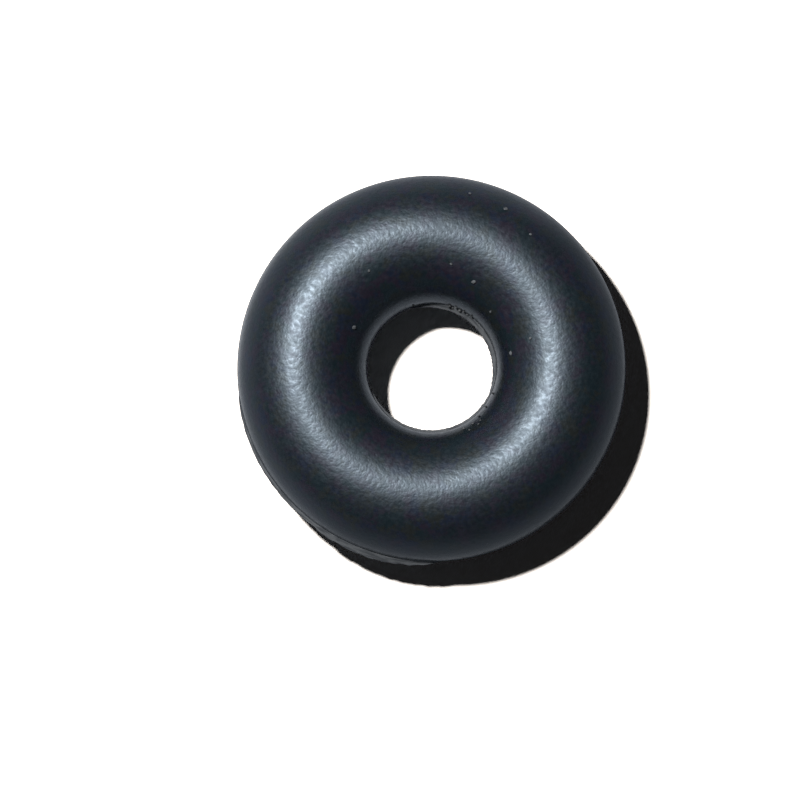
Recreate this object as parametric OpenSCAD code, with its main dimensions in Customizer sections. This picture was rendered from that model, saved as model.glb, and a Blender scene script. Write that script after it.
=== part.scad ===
// A thick little sealing ring, moulded in one piece of black rubber.
//
// The ring is a round section swept round an axis, and it is about as thick as its hole is wide.
// The two halves of its mould met on the mid-plane. They left a skin of flash there, trimmed
// almost flush all the way round, with a longer crescent on the outside and another in the hole.
// The origin is the ring's centre, on its axis and on its mid-plane, with +Z along the axis.

/* [Ring] */
// Inside diameter of the ring
inside_d = 3; // [2:0.1:6]
// Diameter of the round section
section_d = 3; // [1.5:0.1:5]

/* [Trimmed flash] */
// Thickness of the skin of rubber that the mould halves left between them
flash_t = 0.02; // [0.015:0.005:0.06]
// How far the trimmed skin stands out of the round section, inside and outside
flash_stub = 0.03; // [0.005:0.005:0.04]

/* [Outer crescent of flash] */
// Reach of the crescent past the trimmed skin, at its middle
outer_reach = 0.125; // [0.04:0.005:0.15]
// Angle from the crescent's middle to either of its tips
outer_half_arc = 30; // [25:1:60]
// Direction of the crescent's middle, counterclockwise from +X
outer_azimuth = -106; // [-180:2:180]

/* [Inner crescent of flash] */
// Reach of the crescent past the trimmed skin, at its middle
inner_reach = 0.09; // [0.03:0.01:0.12]
// Angle from the crescent's middle to either of its tips
inner_half_arc = 40; // [30:1:60]
// Direction of the crescent's middle, counterclockwise from +X
inner_azimuth = 46; // [-180:2:180]

/* [Hidden] */
$fn = 180;
section_r = section_d / 2;
// The circle that the middle of the section follows
spine_r = (inside_d + section_d) / 2;
// The edges that the trimmed skin ends at, outside and in the hole
outer_edge_r = spine_r + section_r + flash_stub;
inner_edge_r = spine_r - section_r - flash_stub;

// A crescent's edge is the arc through its two tips, on the circle of radius edge_r, and its
// middle, at radius top_r. This gives how far that arc's own centre lies from the ring's axis.
function arc_offset(edge_r, top_r, half_arc) =
    (pow(top_r, 2) - pow(edge_r, 2)) / (2 * (top_r - edge_r * cos(half_arc)));

module crescent_circle(edge_r, top_r, half_arc, azimuth) {
    offset_r = arc_offset(edge_r, top_r, half_arc);
    rotate(azimuth)
        translate([offset_r, 0])
            circle(top_r - offset_r);
}

module round_section_ring() {
    rotate_extrude()
        translate([spine_r, 0])
            circle(section_r);
}

module flash_outline() {
    circle(outer_edge_r);
    crescent_circle(outer_edge_r, outer_edge_r + outer_reach, outer_half_arc, outer_azimuth);
}

module flash_opening() {
    intersection() {
        circle(inner_edge_r);
        crescent_circle(inner_edge_r, inner_edge_r - inner_reach, inner_half_arc, inner_azimuth);
    }
}

module flash_skin() {
    linear_extrude(height = flash_t, center = true)
        difference() {
            flash_outline();
            flash_opening();
        }
}

module o_ring() {
    color("#1c1e21")
        union() {
            round_section_ring();
            flash_skin();
        }
}

o_ring();
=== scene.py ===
"""A thick little sealing ring of black rubber, lying flat on a pale floor.

The ring is one moulding. Its section is round, the two halves of its mould met on its mid-plane, and
the skin of flash that they left there is trimmed nearly flush, with longer torn stretches outside and
in the hole. A few specks of dust lie on it, and torn crumbs at the edge of its hole. Everything is in
metres, with the origin at the ring's centre and +Z along its axis.
"""

import logging
import math
from dataclasses import dataclass
from enum import Enum
from typing import Any, Mapping, Sequence

import bmesh
import bpy
import numpy as np
from mathutils import Matrix, Vector, noise


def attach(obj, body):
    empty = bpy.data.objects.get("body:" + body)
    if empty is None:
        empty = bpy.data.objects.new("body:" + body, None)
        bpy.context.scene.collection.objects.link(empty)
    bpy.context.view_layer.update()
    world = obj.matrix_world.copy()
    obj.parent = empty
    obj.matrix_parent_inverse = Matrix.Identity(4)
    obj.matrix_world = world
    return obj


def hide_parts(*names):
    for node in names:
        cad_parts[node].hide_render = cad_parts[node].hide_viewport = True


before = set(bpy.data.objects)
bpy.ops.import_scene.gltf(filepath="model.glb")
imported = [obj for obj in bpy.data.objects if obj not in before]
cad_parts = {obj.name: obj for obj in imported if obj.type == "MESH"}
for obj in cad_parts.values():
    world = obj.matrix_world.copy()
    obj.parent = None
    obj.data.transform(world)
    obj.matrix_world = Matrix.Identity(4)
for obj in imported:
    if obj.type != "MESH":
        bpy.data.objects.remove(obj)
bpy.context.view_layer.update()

LOG = logging.getLogger("sealing_ring")
MM = 0.001
Colour = tuple[float, float, float]
Point = tuple[float, float, float]
Range = tuple[float, float]
BLACK: Colour = (0.0, 0.0, 0.0)
WHITE: Colour = (1.0, 1.0, 1.0)
NOISE_MIDDLE = 0.5
# A Mix node's colour sockets go by number, because its value sockets have the same names.
MIX_PLAIN, MIX_MARKED, MIX_RESULT = 6, 7, 2


# ---------------------------------------------------------------------------------------------------
# Shader graphs
# ---------------------------------------------------------------------------------------------------


class Socket:
    """The output of a shader node, which takes part in expressions on values."""

    def __init__(self, graph: "Graph", output: bpy.types.NodeSocket) -> None:
        """Keep the graph and the output that belong together.

        Args:
            graph: The graph that holds the node.
            output: The node's output.
        """
        self.graph = graph
        self.output = output

    def __add__(self, other: "Socket | float") -> "Socket":
        """Add two values."""
        return self.graph.value("ADD", self, other)

    def __radd__(self, other: float) -> "Socket":
        """Add this value to a number."""
        return self.graph.value("ADD", other, self)

    def __sub__(self, other: "Socket | float") -> "Socket":
        """Take a value from this one."""
        return self.graph.value("SUBTRACT", self, other)

    def __rsub__(self, other: float) -> "Socket":
        """Take this value from a number."""
        return self.graph.value("SUBTRACT", other, self)

    def __mul__(self, other: "Socket | float") -> "Socket":
        """Multiply two values."""
        return self.graph.value("MULTIPLY", self, other)

    def __rmul__(self, other: float) -> "Socket":
        """Multiply a number by this value."""
        return self.graph.value("MULTIPLY", other, self)

    def __pow__(self, power: float) -> "Socket":
        """Raise this value to a power."""
        return self.graph.value("POWER", self, power)


class Graph:
    """A node tree that is built one node at a time."""

    def __init__(self, tree: bpy.types.NodeTree) -> None:
        """Start from an empty tree.

        Args:
            tree: The tree of a material or of the world.
        """
        self.tree = tree
        self.tree.nodes.clear()

    def node(
        self,
        kind: str,
        settings: Mapping[str, Any] | None = None,
        inputs: Mapping[str | int, Any] | None = None,
    ) -> bpy.types.Node:
        """Add a node.

        Args:
            kind: The node's type, such as "ShaderNodeBump".
            settings: What is set on the node itself, before its sockets.
            inputs: The value or the link of each socket, by the socket's name or number.

        Returns:
            The new node.
        """
        node = self.tree.nodes.new(kind)
        for name, setting in (settings or {}).items():
            setattr(node, name, setting)
        for name, given in (inputs or {}).items():
            if isinstance(given, Socket):
                self.tree.links.new(given.output, node.inputs[name])
            else:
                node.inputs[name].default_value = given
        return node

    def out(self, node: bpy.types.Node, name: str | int = 0) -> Socket:
        """Give one of a node's outputs as a socket."""
        return Socket(self, node.outputs[name])

    def value(self, operation: str, first: Socket | float, second: Socket | float) -> Socket:
        """Work out an expression on two values.

        Args:
            operation: The Math node's operation.
            first: The value on the left.
            second: The value on the right.

        Returns:
            The result.
        """
        return self.out(self.node("ShaderNodeMath", {"operation": operation}, {0: first, 1: second}))

    def length(self, *sides: Socket) -> Socket:
        """Give the length of the line whose sides along the axes are these.

        Args:
            sides: One value or more.

        Returns:
            The root of the sum of their squares.
        """
        total = sides[0] * sides[0]
        for side in sides[1:]:
            total = total + side * side
        return total ** 0.5

    def between(self, mask: Socket, low: float, high: float) -> Socket:
        """Rise smoothly from 0, where the mask is low, to 1, where it is high.

        Args:
            mask: The value that decides.
            low: The value that gives 0.
            high: The value that gives 1.

        Returns:
            The result, from 0 to 1.
        """
        node = self.node(
            "ShaderNodeMapRange",
            {"interpolation_type": "SMOOTHSTEP"},
            {"Value": mask, "From Min": low, "From Max": high},
        )
        return self.out(node, "Result")

    def blend(self, mask: Socket, plain: Colour | Socket, marked: Colour | Socket) -> Socket:
        """Mix two colours.

        Args:
            mask: 0 for the plain colour, and 1 for the marked one.
            plain: The colour where the mask is 0.
            marked: The colour where the mask is 1.

        Returns:
            The mixed colour.
        """
        below, above = (c if isinstance(c, Socket) else (*c, 1.0) for c in (plain, marked))
        inputs = {0: mask, MIX_PLAIN: below, MIX_MARKED: above}
        return self.out(self.node("ShaderNodeMix", {"data_type": "RGBA"}, inputs), MIX_RESULT)

    def grain(self, place: Socket, size: float, detail: float = 2.0, roughness: float = 0.5) -> Socket:
        """Give cloudy noise.

        Args:
            place: The point in space.
            size: How far the noise's lumps are apart, in metres.
            detail: How many finer layers it has.
            roughness: How strong each finer layer is, as a share of the one before.

        Returns:
            The noise, mostly between 0.3 and 0.7.
        """
        node = self.node(
            "ShaderNodeTexNoise",
            {"noise_dimensions": "3D"},
            {"Vector": place, "Scale": 1 / size, "Detail": detail, "Roughness": roughness},
        )
        return self.out(node, "Fac")

    def place(self) -> Socket:
        """Give the point on the object, in the object's own frame."""
        return self.out(self.node("ShaderNodeTexCoord"), "Object")

    def scaled(self, colour: Socket, factor: Socket) -> Socket:
        """Make a colour stronger or weaker."""
        node = self.node("ShaderNodeVectorMath", {"operation": "SCALE"}, {0: colour, "Scale": factor})
        return self.out(node, "Vector")

    def spread(self, x: Socket, y: Socket, z: Socket) -> Socket:
        """Join three coordinates into a point."""
        return self.out(self.node("ShaderNodeCombineXYZ", inputs={0: x, 1: y, 2: z}))

    def parts(self, place: Socket) -> tuple[Socket, Socket, Socket]:
        """Split a point into its three coordinates."""
        node = self.node("ShaderNodeSeparateXYZ", inputs={0: place})
        return self.out(node, "X"), self.out(node, "Y"), self.out(node, "Z")


@dataclass(frozen=True)
class RubberFinish:
    """Satin black rubber as it leaves the mould, with a fine grain and a cool sheen.

    It is smoother towards the parting line than on its crowns. Where it stands proud of the round
    section it is torn skin, paler and streaked along its length, and its colour is also painted
    lighter there, painted light that lifts the skin and its root out of their shade. Each edge holds
    the two values between which a mark fades in.
    """

    spine_r: float
    section_r: float
    name: str = "black_rubber"
    teal: Colour = (0.0034, 0.0072, 0.0094)
    olive: Colour = (0.0068, 0.0077, 0.0068)
    plum: Colour = (0.0082, 0.0057, 0.0106)
    blue: Colour = (0.0040, 0.0060, 0.0133)
    worn: Colour = (0.0060, 0.0094, 0.0140)
    # Torn skin is paler than the rubber; these colours are set lighter still, painted light that lifts
    # the skin out of its shade.
    torn_pale_with_painted_light: Colour = (0.150, 0.156, 0.163)
    torn_dark_with_painted_light: Colour = (0.070, 0.073, 0.078)
    sheen_tint: Colour = (0.73, 0.87, 1.0)
    specular_level: float = 1.0
    crown_roughness: float = 0.445
    side_roughness: float = 0.25
    torn_roughness: float = 0.62
    roughness_spread: float = 0.10
    speckle_spread: float = 0.32
    speckle_size: float = 0.100 * MM
    side_z: float = 0.35 * MM
    crown_z: float = 1.15 * MM
    side_grain: float = 0.5
    grain_size: float = 0.100 * MM
    fine_size: float = 0.045 * MM
    patch_size: float = 0.70 * MM
    cloud_size: float = 0.50 * MM
    veil_size: float = 0.38 * MM
    crown_hue: float = 1.0
    hue_layers: float = 3.0
    hue_ruggedness: float = 0.65
    hue_edge: Range = (0.45, 0.58)
    patch_layers: float = 3.0
    patch_ruggedness: float = 0.6
    scuff_patchiness: float = 0.6
    scuff_edge: Range = (0.44, 0.70)
    streak_size: float = 0.35 * MM
    streak_squeeze: float = 8.0
    streak_edge: Range = (0.36, 0.60)
    grain_layers: float = 1.0
    grain_depth: float = 0.0062 * MM
    fine_share: float = 0.3
    proud_edge: Range = (-0.002 * MM, 0.006 * MM)

    def material(self) -> bpy.types.Material:
        """Build the material.

        Returns:
            The material.
        """
        material = bpy.data.materials.new(self.name)
        material.use_nodes = True
        graph = Graph(material.node_tree)
        place = graph.place()
        x, y, z = graph.parts(place)
        around = graph.length(x, y)
        proud = graph.length(around - self.spine_r, z) - self.section_r
        skin = graph.between(proud, *self.proud_edge)
        crown = graph.between(graph.length(z), self.side_z, self.crown_z)
        grain = graph.grain(place, self.grain_size, self.grain_layers)
        fine = graph.grain(place, self.fine_size, self.grain_layers)
        patches = graph.grain(place, self.patch_size, self.patch_layers, self.patch_ruggedness)
        relief = (grain + fine * self.fine_share) * (self.side_grain + crown * (1 - self.side_grain))
        bump = graph.node(
            "ShaderNodeBump",
            inputs={"Strength": 1.0, "Distance": self.grain_depth, "Height": relief},
        )
        clouds, veils = (
            graph.between(
                graph.grain(place, size, self.hue_layers, self.hue_ruggedness), *self.hue_edge
            )
            for size in (self.cloud_size, self.veil_size)
        )
        scuffs = patches * self.scuff_patchiness + fine * (1 - self.scuff_patchiness)
        scuffed = graph.between(scuffs, *self.scuff_edge)
        cool = graph.blend(veils, self.teal, self.olive)
        warm = graph.blend(veils, self.plum, self.blue)
        plain = graph.scaled(graph.blend(clouds, cool, warm), 1 + crown * self.crown_hue)
        mottled = graph.blend(scuffed, plain, self.worn)
        streaks = graph.grain(graph.spread(x, y, around * self.streak_squeeze), self.streak_size)
        # Painted light: the torn skin's pale colours also lift it and its root out of their shade.
        torn_with_painted_light = graph.blend(
            graph.between(streaks, *self.streak_edge), self.torn_dark_with_painted_light, self.torn_pale_with_painted_light
        )
        smooth = self.side_roughness + crown * (self.crown_roughness - self.side_roughness)
        speckle = graph.grain(place, self.speckle_size)
        rough = smooth + (patches - NOISE_MIDDLE) * self.roughness_spread
        rough = rough + (speckle - NOISE_MIDDLE) * self.speckle_spread
        rough = rough + skin * (self.torn_roughness - self.side_roughness)
        shader = graph.node(
            "ShaderNodeBsdfPrincipled",
            inputs={
                "Base Color": graph.blend(skin, mottled, torn_with_painted_light),
                "Roughness": rough,
                "Specular IOR Level": self.specular_level,
                "Specular Tint": (*self.sheen_tint, 1.0),
                "Normal": graph.out(bump),
            },
        )
        graph.node("ShaderNodeOutputMaterial", inputs={"Surface": graph.out(shader)})
        return material


@dataclass(frozen=True)
class SpeckFinish:
    """Dry pale dust or dull crumbs of rubber, a little uneven in colour."""

    name: str = "pale_dust"
    light: Colour = (0.13, 0.14, 0.15)
    dark: Colour = (0.06, 0.065, 0.07)
    roughness: float = 0.9
    speckle_size: float = 0.05 * MM
    speckle_edge: Range = (0.35, 0.6)

    def material(self) -> bpy.types.Material:
        """Build the material.

        Returns:
            The material.
        """
        material = bpy.data.materials.new(self.name)
        material.use_nodes = True
        graph = Graph(material.node_tree)
        speckle = graph.grain(graph.place(), self.speckle_size)
        mixed = graph.between(speckle, *self.speckle_edge)
        shader = graph.node(
            "ShaderNodeBsdfPrincipled",
            inputs={
                "Base Color": graph.blend(mixed, self.dark, self.light),
                "Roughness": self.roughness,
            },
        )
        graph.node("ShaderNodeOutputMaterial", inputs={"Surface": graph.out(shader)})
        return material


@dataclass(frozen=True)
class FloorFinish:
    """Plain matt white card, bright to the eye and dimmer in what it throws back at the ring.

    It throws back more on the lamp's side of the ring than on the far side: painted light, its colour
    for the ring painted lighter towards the lamp and darker past the ring. The shadow outside the ring
    is seen a little lighter than the one in the hole, through a faint painted glow that only the
    camera sees. Far from the ring, where the lamp's light runs out, the card is simply seen as white.
    """

    to_lamp: Point
    name: str = "white_card"
    seen: Colour = (2.2, 2.05, 1.9)
    # Painted light: the colours thrown back at the ring, lighter on the lamp's side and darker past
    # the ring.
    lamp_side_painted_light: Colour = (0.33, 0.355, 0.395)
    far_side_painted_shade: Colour = (0.23, 0.247, 0.275)
    half_width: float = 1.5 * MM
    roughness: float = 0.5
    sheen: float = 1.0
    # Painted light: the glow that lifts the shadow outside the ring, and the radii where it fades in.
    painted_shadow_glow: Colour = (0.0036, 0.0032, 0.0030)
    painted_glow_edge: Range = (2 * MM, 5 * MM)
    white_edge: Range = (20 * MM, 60 * MM)

    def material(self) -> bpy.types.Material:
        """Build the material.

        Returns:
            The material.
        """
        material = bpy.data.materials.new(self.name)
        material.use_nodes = True
        graph = Graph(material.node_tree)
        looking = graph.out(graph.node("ShaderNodeLightPath"), "Is Camera Ray")
        x, y, _ = graph.parts(graph.place())
        lamp_x, lamp_y = Vector(self.to_lamp).xy.normalized()
        towards = x * lamp_x + y * lamp_y
        # Painted light: what the card throws back is painted lighter towards the lamp and darker on
        # the far side.
        side = graph.between(towards, -self.half_width, self.half_width)
        painted_thrown_back = graph.blend(side, self.far_side_painted_shade, self.lamp_side_painted_light)
        colour = graph.blend(looking, painted_thrown_back, self.seen)
        around = graph.length(x, y)
        # Painted light: a faint glow, seen only by the camera, lifts the shadow outside the ring.
        painted_glow = graph.between(around, *self.painted_glow_edge)
        far = graph.between(around, *self.white_edge)
        lifted = graph.blend(far, graph.blend(painted_glow, BLACK, self.painted_shadow_glow), WHITE)
        shader = graph.node(
            "ShaderNodeBsdfPrincipled",
            inputs={
                "Base Color": colour,
                "Roughness": self.roughness,
                "Specular IOR Level": self.sheen,
                "Emission Color": graph.blend(looking, BLACK, lifted),
                "Emission Strength": 1.0,
            },
        )
        graph.node("ShaderNodeOutputMaterial", inputs={"Surface": graph.out(shader)})
        return material


# ---------------------------------------------------------------------------------------------------
# The ring
# ---------------------------------------------------------------------------------------------------


class Side(Enum):
    """The two edges of the ring at its mid-plane."""

    OUTSIDE = "outside"
    HOLE = "hole"


@dataclass(frozen=True)
class Crescent:
    """A stretch of flash that was left longer than the rest.

    Its azimuth is the direction of its middle, counterclockwise from +X, and its reach is how far its
    middle stands past the trimmed skin. The lower its taper, the squarer are its ends.
    """

    side: Side
    azimuth_deg: float
    half_arc_deg: float
    reach: float
    taper: float

    def reach_at(self, azimuths: np.ndarray) -> np.ndarray:
        """Give the reach at each azimuth.

        Args:
            azimuths: The azimuths, in radians.

        Returns:
            The reach past the trimmed skin at each, in metres.
        """
        away = np.degrees(azimuths) - self.azimuth_deg
        away = (away + 180) % 360 - 180
        inside = np.clip(1 - (away / self.half_arc_deg) ** 2, 0, None)
        return self.reach * inside**self.taper


@dataclass(frozen=True)
class Ragged:
    """Small tears along a line that closes on itself, the same ones each time.

    They are a sum of waves, with every whole number of them in a turn from slowest to just below
    fastest.
    """

    seed: int
    slowest: int
    fastest: int

    def at(self, azimuths: np.ndarray) -> np.ndarray:
        """Give an uneven line.

        Args:
            azimuths: The azimuths, in radians.

        Returns:
            A value from 0 to 1 at each.
        """
        chance = np.random.default_rng(self.seed)
        turns = np.arange(self.slowest, self.fastest)
        heights = chance.normal(size=turns.size)
        starts = chance.uniform(0, 2 * math.pi, size=turns.size)
        line = (heights * np.cos(np.outer(azimuths, turns) + starts)).sum(axis=1)
        return (line - line.min()) / (line.max() - line.min())


@dataclass
class SealingRing:
    """The rubber ring with its parting line.

    The trimmed skin stands out by a stub, and crescents of it by more. Its root takes up the fillet's
    share of its reach at most, and its nose the nose's share. Skin as long as curl_over has curled
    down by curl at its tip. The round faces lie below the true section by the sink and the grain.
    """

    name: str = "o_ring_rubber"
    inside_d: float = 3.0 * MM
    section_d: float = 3.0 * MM
    skin_thickness: float = 0.020 * MM
    outer_stub: float = 0.008 * MM
    hole_stub: float = 0.010 * MM
    fillet: float = 0.090 * MM
    fillet_share: float = 0.8
    nose_share: float = 0.2
    nose_back: float = 0.3
    nose_height: float = 0.7
    fullness: float = 0.8
    grain_relief: float = 0.0012 * MM
    grain_spacing: float = 0.22 * MM
    sink: float = 0.004 * MM
    round_margin: float = 0.00015 * MM
    curl: float = 0.110 * MM
    curl_over: float = 0.150 * MM
    raggedness: float = 0.25
    azimuth_steps: int = 480
    arc_steps: int = 70
    fillet_steps: int = 6
    crescents: Sequence[Crescent] = (
        Crescent(Side.OUTSIDE, -110, 22, 0.142 * MM, 0.55),
        Crescent(Side.OUTSIDE, -133, 39, 0.085 * MM, 0.5),
        Crescent(Side.HOLE, 40, 70, 0.115 * MM, 0.6),
        Crescent(Side.HOLE, -85, 76, 0.062 * MM, 0.5),
        Crescent(Side.HOLE, -36.5, 3, 0.060 * MM, 1.5),
    )
    tears: Ragged = Ragged(seed=7, slowest=20, fastest=110)

    @property
    def section_r(self) -> float:
        """Radius of the round section."""
        return self.section_d / 2

    @property
    def spine_r(self) -> float:
        """Radius of the circle that the middle of the section follows."""
        return (self.inside_d + self.section_d) / 2

    def flash_reach(self, side: Side, azimuths: np.ndarray) -> np.ndarray:
        """Give how far the flash stands out of the round section.

        Args:
            side: The edge of the ring.
            azimuths: The azimuths, in radians.

        Returns:
            The reach at each azimuth, in metres.
        """
        uneven = self.tears.at(azimuths)
        stub = self.outer_stub if side is Side.OUTSIDE else self.hole_stub
        longer = np.max([c.reach_at(azimuths) for c in self.crescents if c.side is side], axis=0)
        return (stub + longer) * (1 - self.raggedness + self.raggedness * uneven)

    def root(self, rise: float) -> tuple[float, float]:
        """Give the middle of the arc that leads from the round section into the skin.

        Args:
            rise: The arc's radius.

        Returns:
            Its distance from the middle of the section, and its height.
        """
        height = self.skin_thickness / 2 + rise
        return math.sqrt((self.section_r + rise) ** 2 - height**2), height

    def arc(self) -> np.ndarray:
        """Give the angles round the section of one half of the mould, from its outside to the hole."""
        across, height = self.root(self.fillet)
        start = math.atan2(height, across)
        return np.linspace(start, math.pi - start, self.arc_steps)

    def skin_profile(self, reach: float) -> np.ndarray:
        """Give the edge of the skin, from its upper root round its tip to its lower root.

        The root is a hollow arc that is filled out towards a straight taper. The longer the skin is,
        the further its tip curls down.

        Args:
            reach: How far the skin stands out of the round section.

        Returns:
            Rows of distance past the round section and of height, in metres.
        """
        half = self.skin_thickness / 2
        rise = min(self.fillet, reach * self.fillet_share)
        nose = min(half, reach * self.nose_share)
        across, height = self.root(rise)
        lean = math.atan2(height, across)
        turns = np.linspace(lean, math.pi / 2, self.fillet_steps)
        hollow = np.stack([across - rise * np.cos(turns), height - rise * np.sin(turns)], axis=1)
        hollow[:, 0] -= self.section_r
        share = np.linspace(0, 1, self.fillet_steps)[:, None]
        straight = hollow[0] * (1 - share) + hollow[-1] * share
        hollow += (straight - hollow) * self.fullness
        tip = [(reach - nose, half), (reach - nose * self.nose_back, half * self.nose_height)]
        upper = np.concatenate([hollow, tip])
        profile = np.concatenate([upper, [(reach, 0.0)], upper[::-1] * (1, -1)])
        profile[:, 1] -= self.curl * (np.clip(profile[:, 0], 0, None) / self.curl_over) ** 2
        return profile

    def points(self) -> np.ndarray:
        """Give every point of the ring.

        Returns:
            The points, by azimuth, by their order round the section, and by coordinate, in metres.
        """
        azimuths = np.linspace(0, 2 * math.pi, self.azimuth_steps, endpoint=False)
        outside = self.flash_reach(Side.OUTSIDE, azimuths)
        hole = self.flash_reach(Side.HOLE, azimuths)
        arc = self.arc()
        upper = np.stack([np.cos(arc), np.sin(arc)], axis=1) * self.section_r
        lower = upper[::-1] * (1, -1)
        rings = []
        for azimuth, out_reach, in_reach in zip(azimuths, outside, hole):
            into_hole = self.skin_profile(in_reach)
            into_hole[:, 0] = -self.section_r - into_hole[:, 0]
            outward = self.skin_profile(out_reach)[::-1]
            outward[:, 0] += self.section_r
            section = np.concatenate([upper, into_hole, lower, outward])
            radius = self.spine_r + section[:, 0]
            rings.append(
                np.stack(
                    [radius * math.cos(azimuth), radius * math.sin(azimuth), section[:, 1]], axis=1
                )
            )
        return np.array(rings)

    def relieved(self, points: np.ndarray) -> np.ndarray:
        """Sink the round faces by the grain that the mould left on them.

        Args:
            points: The ring's points.

        Returns:
            The same points, moved a little towards the middle of the section.
        """
        flat = points.reshape(-1, 3)
        around = np.hypot(flat[:, 0], flat[:, 1])
        spine = flat * (1, 1, 0) / around[:, None] * self.spine_r
        depth = np.array([noise.noise(Vector(p / self.grain_spacing)) for p in flat])
        away = flat - spine
        length = np.linalg.norm(away, axis=1)
        depth = self.sink + self.grain_relief * (1 + depth) / 2
        on_round = length < self.section_r + self.round_margin
        moved = flat - away / length[:, None] * (depth * on_round)[:, None]
        return moved.reshape(points.shape)

    def mesh(self) -> bpy.types.Mesh:
        """Build the ring's closed skin.

        Returns:
            The mesh.
        """
        points = self.relieved(self.points())
        rows, columns = points.shape[:2]
        row = np.arange(rows)[:, None]
        column = np.arange(columns)[None, :]
        next_row = (row + 1) % rows
        next_column = (column + 1) % columns
        corners = [
            row * columns + column,
            next_row * columns + column,
            next_row * columns + next_column,
            row * columns + next_column,
        ]
        faces = np.stack(corners, axis=-1).reshape(-1, 4)
        mesh = bpy.data.meshes.new(self.name)
        mesh.from_pydata(points.reshape(-1, 3).tolist(), [], faces.tolist())
        mesh.polygons.foreach_set("use_smooth", [True] * len(mesh.polygons))
        mesh.validate()
        mesh.update()
        return mesh

    def build(self) -> bpy.types.Object:
        """Build the ring and give it its finish.

        Returns:
            The ring, in place of the plain solid.
        """
        ring = bpy.data.objects.new(self.name, self.mesh())
        bpy.context.scene.collection.objects.link(ring)
        ring.data.materials.append(RubberFinish(self.spine_r, self.section_r).material())
        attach(ring, "root")
        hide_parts("o_ring")
        return ring

    def on_surface(self, azimuth: float, tube: float) -> tuple[Vector, Vector]:
        """Give a place on the round section.

        Args:
            azimuth: The direction round the ring, counterclockwise from +X, in radians.
            tube: The angle round the section, from the outside over the top, in radians.

        Returns:
            The point, and the way out of the rubber there.
        """
        outward = Vector((math.cos(azimuth), math.sin(azimuth), 0))
        normal = outward * math.cos(tube) + Vector((0, 0, math.sin(tube)))
        return outward * self.spine_r + normal * self.section_r, normal


@dataclass(frozen=True)
class Speck:
    """One speck, by its place on the ring and its width."""

    azimuth_deg: float
    tube_deg: float
    width: float


@dataclass
class Specks:
    """Loose specks of one kind that lie on the ring."""

    name: str
    ring: SealingRing
    finish: SpeckFinish
    specks: Sequence[Speck]
    flatness: float = 0.35
    oblong: float = 0.8
    unevenness: float = 0.35
    lumps: float = 1.7
    sunk: float = 0.25
    subdivisions: int = 3

    def add_speck(self, mesh: bmesh.types.BMesh, speck: Speck, seed: int) -> None:
        """Add one uneven crumb to the mesh.

        Args:
            mesh: The mesh that takes it.
            speck: The speck.
            seed: A number that sets its shape.
        """
        point, normal = self.ring.on_surface(
            math.radians(speck.azimuth_deg), math.radians(speck.tube_deg)
        )
        made = bmesh.ops.create_icosphere(mesh, subdivisions=self.subdivisions, radius=1)
        shift = Vector((seed, 2 * seed, 3 * seed))
        turn = normal.to_track_quat("Z", "Y").to_matrix().to_4x4()
        spin = Matrix.Rotation(seed, 4, "Z")
        half = speck.width / 2
        squash = Matrix.Diagonal((half, half * self.oblong, half * self.flatness, 1))
        centre = Matrix.Translation(point + normal * half * self.flatness * (1 - self.sunk))
        for vertex in made["verts"]:
            swell = 1 + self.unevenness * noise.noise(vertex.co * self.lumps + shift)
            vertex.co = centre @ turn @ spin @ squash @ (vertex.co * swell)

    def build(self) -> bpy.types.Object:
        """Build the specks as one piece.

        Returns:
            The piece.
        """
        crumbs = bmesh.new()
        for seed, speck in enumerate(self.specks, start=1):
            self.add_speck(crumbs, speck, seed)
        for face in crumbs.faces:
            face.smooth = True
        mesh = bpy.data.meshes.new(self.name)
        crumbs.to_mesh(mesh)
        crumbs.free()
        piece = bpy.data.objects.new(self.name, mesh)
        bpy.context.scene.collection.objects.link(piece)
        mesh.materials.append(self.finish.material())
        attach(piece, "root")
        return piece


def dust(ring: SealingRing) -> Specks:
    """Scatter the dust, bright specks first and faint ones after.

    Args:
        ring: The ring that it lies on.

    Returns:
        The specks.
    """
    wide, narrow = 0.110 * MM, 0.070 * MM
    return Specks(
        "dust_specks",
        ring,
        SpeckFinish(),
        (
            Speck(62, 126, wide),
            Speck(155, 134, wide),
            Speck(7, 139, wide),
            Speck(64, 50, wide),
            Speck(106, 174, narrow),
            Speck(78, 117, narrow),
            Speck(124, 108, narrow),
            Speck(41, 141, narrow),
            Speck(77, 46, narrow),
            Speck(52, 60, narrow),
            Speck(13, 115, narrow),
        ),
    )


def crumbs(ring: SealingRing) -> Specks:
    """Scatter the crumbs of rubber that the trimming left at the edge of the hole.

    Args:
        ring: The ring that they stick to.

    Returns:
        The crumbs.
    """
    wide, narrow = 0.090 * MM, 0.060 * MM
    return Specks(
        "torn_crumbs",
        ring,
        SpeckFinish("torn_crumb_rubber", light=(0.110, 0.115, 0.120), dark=(0.022, 0.024, 0.026)),
        (
            Speck(74, 174, wide),
            Speck(71, 178, wide),
            Speck(68, 172, narrow),
            Speck(64, 176, wide),
            Speck(60, 173, narrow),
            Speck(56, 177, narrow),
            Speck(52, 172, narrow),
            Speck(-24, 163, narrow),
            Speck(-37, 161, narrow),
            Speck(-47, 157, narrow),
            Speck(-49, 147, narrow),
            Speck(-52, 143, narrow),
            Speck(-55, 151, narrow),
            Speck(-60, 144, narrow),
            Speck(-63, 152, narrow),
        ),
        flatness=0.6,
    )


# ---------------------------------------------------------------------------------------------------
# The stage
# ---------------------------------------------------------------------------------------------------


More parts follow.
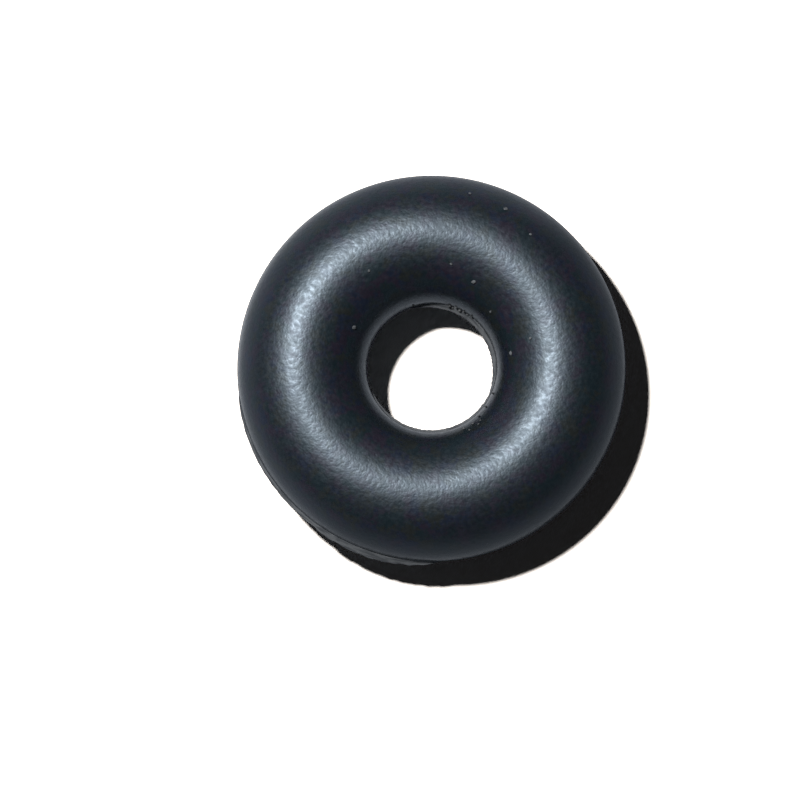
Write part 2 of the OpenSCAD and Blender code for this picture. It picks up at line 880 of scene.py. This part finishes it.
@dataclass
class Stage:
    """The floor, the light and the air round the ring."""

    floor_z: float
    floor_r: float = 0.45
    floor_corners: int = 96
    to_light: Point = (-0.307, 0.236, 1.0)
    light_distance: float = 0.17
    light_radius: float = 0.0060
    light_power: float = 1.30
    fill: Colour = (0.0026, 0.0025, 0.0026)

    def floor(self) -> bpy.types.Object:
        """Lay the floor.

        Returns:
            The floor.
        """
        disc = bmesh.new()
        bmesh.ops.create_circle(disc, cap_ends=True, segments=self.floor_corners, radius=self.floor_r)
        mesh = bpy.data.meshes.new("floor")
        disc.to_mesh(mesh)
        disc.free()
        floor = bpy.data.objects.new("floor", mesh)
        floor.location.z = self.floor_z
        bpy.context.scene.collection.objects.link(floor)
        mesh.materials.append(FloorFinish(self.to_light).material())
        return floor

    def light(self) -> bpy.types.Object:
        """Hang the one lamp.

        Returns:
            The lamp.
        """
        lamp = bpy.data.lights.new("key", "POINT")
        lamp.energy = self.light_power
        lamp.shadow_soft_size = self.light_radius
        hung = bpy.data.objects.new("key", lamp)
        hung.location = Vector(self.to_light).normalized() * self.light_distance
        bpy.context.scene.collection.objects.link(hung)
        return hung

    def air(self) -> None:
        """Make the world dim for the ring and white behind it."""
        world = bpy.data.worlds.new("room")
        bpy.context.scene.world = world
        world.use_nodes = True
        graph = Graph(world.node_tree)
        looking = graph.out(graph.node("ShaderNodeLightPath"), "Is Camera Ray")
        tone = graph.blend(looking, self.fill, WHITE)
        room = graph.node("ShaderNodeBackground", inputs={"Color": tone, "Strength": 1.0})
        graph.node("ShaderNodeOutputWorld", inputs={"Surface": graph.out(room)})


@dataclass
class Viewpoint:
    """The camera, a long way off and nearly overhead."""

    to_camera: Point = (0.020, -0.115, 1.0)
    distance: float = 0.30
    picture_px: int = 800
    px_per_mm: float = 43.15
    ring_px: tuple[float, float] = (431.5, 368.3)
    sensor: float = 36.0

    def build(self) -> bpy.types.Object:
        """Place the camera so that the ring's centre falls on its pixel.

        Returns:
            The camera.
        """
        lens = bpy.data.cameras.new("camera")
        lens.sensor_width = self.sensor
        picture_mm = self.picture_px / self.px_per_mm
        lens.lens = self.sensor * self.distance / (picture_mm * MM)
        camera = bpy.data.objects.new("camera", lens)
        back = Vector(self.to_camera).normalized()
        right = Vector((0, 1, 0)).cross(back).normalized()
        up = back.cross(right)
        half = self.picture_px / 2
        step = MM / self.px_per_mm
        aim = right * (half - self.ring_px[0]) * step + up * (self.ring_px[1] - half) * step
        camera.matrix_world = Matrix.Translation(aim + back * self.distance) @ Matrix(
            (right, up, back)
        ).transposed().to_4x4()
        bpy.context.scene.collection.objects.link(camera)
        bpy.context.scene.camera = camera
        return camera


def main() -> None:
    """Build the ring, what lies on it, and the stage."""
    logging.basicConfig(level=logging.INFO, format="%(message)s")
    bpy.context.scene.view_settings.view_transform = "Standard"
    ring = SealingRing()
    built = ring.build()
    LOG.info("%s: %d faces", built.name, len(built.data.polygons))
    for specks in (dust(ring), crumbs(ring)):
        piece = specks.build()
        LOG.info("%s: %d faces", piece.name, len(piece.data.polygons))
    stage = Stage(floor_z=-ring.section_r)
    LOG.info("%s laid", stage.floor().name)
    LOG.info("%s lamp hung", stage.light().name)
    stage.air()
    LOG.info("%s placed", Viewpoint().build().name)


if __name__ == "__main__":
    main()
